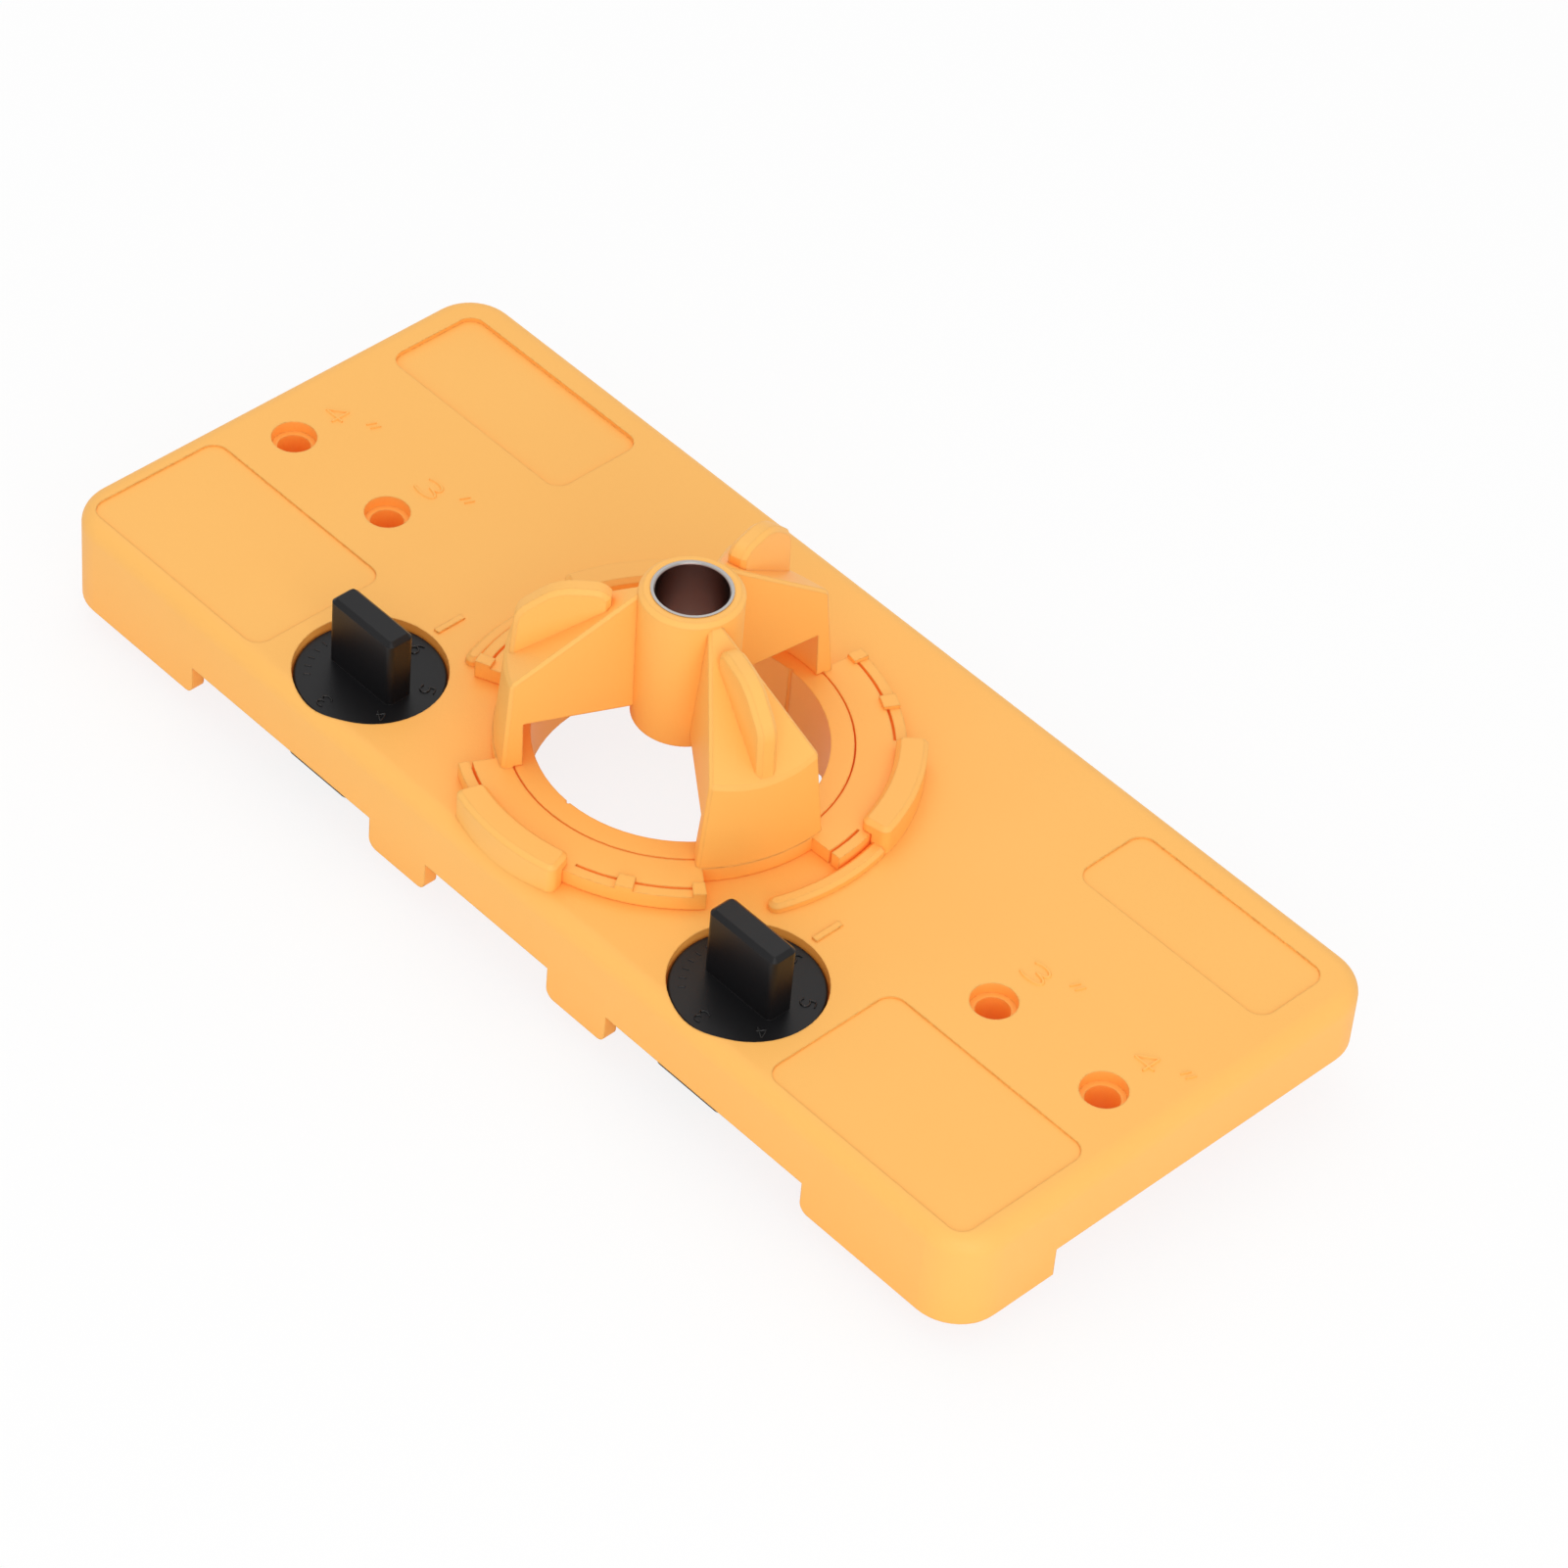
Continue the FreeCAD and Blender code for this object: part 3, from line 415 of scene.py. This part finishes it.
# %% A raised stroke along a line
def stroke(line, width, rise, slope, sink=0.1):
    """Vertices and faces of a closed bar along a line. At each point a four-cornered section stands
    square to the line: wide at the bottom, which lies sink below the surface, and narrower at the
    top, by a slope on each side. Near an end the section narrows as a half circle does."""
    step = np.linalg.norm(np.diff(line, axis=0), axis=1)
    along = np.concatenate([[0.0], np.cumsum(step)])
    length, half = along[-1], 0.5 * width
    rounded_end = half * (1.0 - np.cos(np.radians(np.linspace(12, 90, 6))))
    even = np.linspace(0, length, 2 + int(length / (0.4 * width)))
    places = np.unique(np.round(np.concatenate([rounded_end, length - rounded_end, even]), 5))
    points = np.stack([np.interp(places, along, line[:, axis]) for axis in (0, 1)], axis=1)
    ahead = np.gradient(points, places, axis=0)
    ahead /= np.linalg.norm(ahead, axis=1, keepdims=True)
    sideways = np.stack([-ahead[:, 1], ahead[:, 0]], axis=1)
    from_end = np.clip(np.minimum(places, length - places) / half, 0.02, 1.0)
    narrowing = np.sqrt(1.0 - (1.0 - from_end) ** 2)
    section = np.array([-half, -half + slope, half - slope, half])
    heights = np.array([-sink, rise, rise, -sink])
    offset = section[None, :] * narrowing[:, None]
    flat = points[:, None, :] + sideways[:, None, :] * offset[:, :, None]
    verts = np.dstack([flat, np.broadcast_to(heights, flat.shape[:2])]).reshape(-1, 3)
    rows = len(points)
    row, corner = np.meshgrid(np.arange(rows - 1), np.arange(4), indexing="ij")
    after = (corner + 1) % 4
    near, far = row * 4, (row + 1) * 4
    faces = np.stack([near + corner, far + corner, far + after, near + after], axis=-1)
    last = 4 * (rows - 1)
    caps = np.array([[0, 1, 2, 3], [last + 3, last + 2, last + 1, last]])
    return verts, np.vstack([faces.reshape(-1, 4), caps])


# %% [markdown]
# A digit is a few strokes, scaled, turned and set in its place. Strokes that cross would flicker
# where two tops lie in one plane. They could be joined by a boolean, but a hundredth of a
# millimetre between their heights does as well and can't fail.

# %% A digit in its place
STEP_UP = 0.01


def written(name, middle, size, turn, level, width, rise, slope):
    """A digit's strokes, scaled to a width and height, turned by degrees and set at a place. Each
    stroke is STEP_UP millimetres higher than the one before, so no two tops coincide."""
    angle = math.radians(turn)
    spin = np.array([[math.cos(angle), -math.sin(angle)], [math.sin(angle), math.cos(angle)]])
    lots = []
    for order, line in enumerate(DIGITS[name]):
        verts, faces = stroke(line * np.array(size), width, rise + STEP_UP * order, slope)
        flat = verts[:, :2] @ spin.T + np.array(middle)
        lots.append((np.column_stack([flat, verts[:, 2] + level]), faces))
    return lots


# %% [markdown]
# On the real jig the digits are moulded with the dial or the plate that they stand on. Here all
# strokes on one side become one mesh, which rides on the body of that dial or of the plate. One
# object for each stroke would do the same with more than fifty names.

# %% One piece from many strokes
def one_piece(name, lots, mat, body, smooth):
    """One object from many lots of vertices, in millimetres, and faces. It rides on a body."""
    verts = np.vstack([lot_verts for lot_verts, _ in lots])
    starts = np.cumsum([0] + [len(lot_verts) for lot_verts, _ in lots[:-1]])
    faces = np.vstack([lot_faces + start for (_, lot_faces), start in zip(lots, starts)])
    mesh = bpy.data.meshes.new(name)
    mesh.from_pydata((verts * MM).tolist(), [], faces.tolist())
    mesh.polygons.foreach_set("use_smooth", [smooth] * len(mesh.polygons))
    mesh.materials.append(mat)
    piece = bpy.data.objects.new(name, mesh)
    bpy.context.scene.collection.objects.link(piece)
    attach(piece, body)
    print(name, "has", len(faces), "faces and rides on", body)
    return piece


# %% [markdown]
# Each dial is marked with its steps, 3 to 6 millimetres, sixty degrees apart and with their tops
# outward. Plain ticks stand on the side that has no step. The strokes are shaded smooth, so their
# edges catch thin glints as the moulded ones do.

# %% Digits on the dials
DIGIT_RADIUS, DIGIT_SIZE = 10.3, (1.7, 2.6)
DIGIT_WIDTH, DIGIT_RISE, DIGIT_SLOPE = 0.42, 0.26, 0.14
TICK_RADIUS, TICK_LENGTH, TICK_ANGLES = 10.8, 1.2, range(142, 232, 11)
TICK_WIDTH, TICK_RISE, TICK_SLOPE = 0.34, 0.14, 0.1
STEP_ANGLES = {"6": 90, "5": 30, "4": -30, "3": -90}


def around(middle, radius, degrees):
    """The point at a radius and an angle from a middle."""
    angle = math.radians(degrees)
    return middle[0] + radius * math.cos(angle), middle[1] + radius * math.sin(angle)


for word in ("left", "right"):
    dial_middle = middle_of(word + "_dial")
    lots = []
    for digit, angle in STEP_ANGLES.items():
        lots += written(digit, around(dial_middle, DIGIT_RADIUS, angle), DIGIT_SIZE, angle - 90,
                        DIAL_TOP, DIGIT_WIDTH, DIGIT_RISE, DIGIT_SLOPE)
    for angle in TICK_ANGLES:
        ends = [around(dial_middle, TICK_RADIUS + half * TICK_LENGTH, angle)
                for half in (-0.5, 0.5)]
        verts, faces = stroke(bar(*ends), TICK_WIDTH, TICK_RISE, TICK_SLOPE)
        lots.append((verts + np.array([0.0, 0.0, DIAL_TOP]), faces))
    one_piece(word + "_dial_digits", lots, digit_black, word + "_selector", smooth=True)

# %% [markdown]
# Behind each stop hole the plate is marked with its distance from the drilling axis, 3 or 4
# inches. These strokes are broad for their size and very low, so in soft light only their edges
# show. A darker colour would make them easier to read, but the real ones have the plate's own, and
# only a darker, redder shade painted into the creases at their feet sets them off.

# %% Inch marks on the plate
INCH = 25.4
MARK_RIGHT, MARK_BACK, MARK_SIZE = 0.1, 9.8, (4.4, 4.0)
MARK_WIDTH, MARK_RISE, MARK_SLOPE = 0.85, 0.28, 0.30
INCHES_RIGHT, INCHES_BACK, INCHES_SIZE = 6.5, 12.9, (2.0, 1.8)
INCHES_WIDTH, INCHES_RISE, INCHES_SLOPE = 0.5, 0.26, 0.2

for word, side in (("left", -1), ("right", 1)):
    lots = []
    for digit in ("3", "4"):
        hole = side * int(digit) * INCH
        lots += written(digit, (hole + MARK_RIGHT, MARK_BACK), MARK_SIZE, 0, PLATE_TOP,
                        MARK_WIDTH, MARK_RISE, MARK_SLOPE)
        lots += written("inches", (hole + INCHES_RIGHT, INCHES_BACK), INCHES_SIZE, 0, PLATE_TOP,
                        INCHES_WIDTH, INCHES_RISE, INCHES_SLOPE)
    one_piece(word + "_inch_marks", lots, orange_mark, "body", smooth=False)

# %% [markdown]
# The photograph was taken in even light with a white ground. A wide panel from above models the
# forms, a second one from the front fills the walls that face the camera, and a plain white world
# fills the rest. Two wide panels are chosen over many small lamps, because small lamps draw hard
# shadows.

# %% Light
def panel_light(name, place, size, power):
    """A square area light at a place in millimetres, aimed at the drilling axis."""
    data = bpy.data.lights.new(name, "AREA")
    data.shape = "SQUARE"
    data.size = size * MM
    data.energy = power
    light = bpy.data.objects.new(name, data)
    light.location = Vector(place) * MM
    light.rotation_euler = (-Vector(place)).to_track_quat("-Z", "Y").to_euler()
    bpy.context.scene.collection.objects.link(light)
    return light


panel_light("key light", (-250, 150, 800), 700, 1.2)
panel_light("front light", (700, -500, 400), 800, 3.3)

WORLD_LIGHT = 0.78
world = bpy.data.worlds.new("studio")
world.use_nodes = True
world.node_tree.nodes["Background"].inputs["Color"].default_value = (1.0, 1.0, 1.0, 1.0)
world.node_tree.nodes["Background"].inputs["Strength"].default_value = WORLD_LIGHT
bpy.context.scene.world = world

# %% [markdown]
# The ground is a wide sheet below the cams. A photographer's white ground is lit from its own lamps
# until it is white. More light on the jig would bleach it, so the sheet itself is bright, but only
# where the camera or a reflection sees it, and it still takes a part of its look from the light
# that falls on it, which keeps the jig's shadow.

# %% Floor
FLOOR_LOW, FLOOR_HALF, FLOOR_GLOW = -11.5, 3000.0, 0.84


def floor_finish():
    """White paper mixed with a white glow of strength 1. The glow's share is FLOOR_GLOW for rays
    from the camera, from a reflection or through a clear material, and nothing for all others."""
    mat, tree, shader = new_material("white ground", Base_Color=(0.92, 0.92, 0.92, 1.0),
                                     Roughness=0.8, Specular_IOR_Level=0.2)
    path = tree.nodes.new("ShaderNodeLightPath")
    seen = path.outputs["Is Camera Ray"]
    for ray in ("Is Glossy Ray", "Is Transmission Ray"):
        either = tree.nodes.new("ShaderNodeMath")
        either.operation = "MAXIMUM"
        tree.links.new(seen, either.inputs[0])
        tree.links.new(path.outputs[ray], either.inputs[1])
        seen = either.outputs["Value"]
    share = tree.nodes.new("ShaderNodeMath")
    share.operation = "MULTIPLY"
    share.inputs[1].default_value = FLOOR_GLOW
    tree.links.new(seen, share.inputs[0])
    glow = tree.nodes.new("ShaderNodeEmission")
    mix = tree.nodes.new("ShaderNodeMixShader")
    tree.links.new(share.outputs["Value"], mix.inputs["Fac"])
    tree.links.new(shader.outputs["BSDF"], mix.inputs[1])
    tree.links.new(glow.outputs["Emission"], mix.inputs[2])
    tree.links.new(mix.outputs["Shader"], tree.nodes["Material Output"].inputs["Surface"])
    return mat


ground = bpy.data.meshes.new("ground")
corners = np.array([(-1, -1, 0), (1, -1, 0), (1, 1, 0), (-1, 1, 0)]) * FLOOR_HALF
ground.from_pydata(((corners + (0, 0, FLOOR_LOW)) * MM).tolist(), [], [(0, 1, 2, 3)])
ground.materials.append(floor_finish())
sheet = bpy.data.objects.new("ground", ground)
bpy.context.scene.collection.objects.link(sheet)
bpy.context.scene.view_settings.view_transform = "Standard"
print("ground at", FLOOR_LOW, "mm")
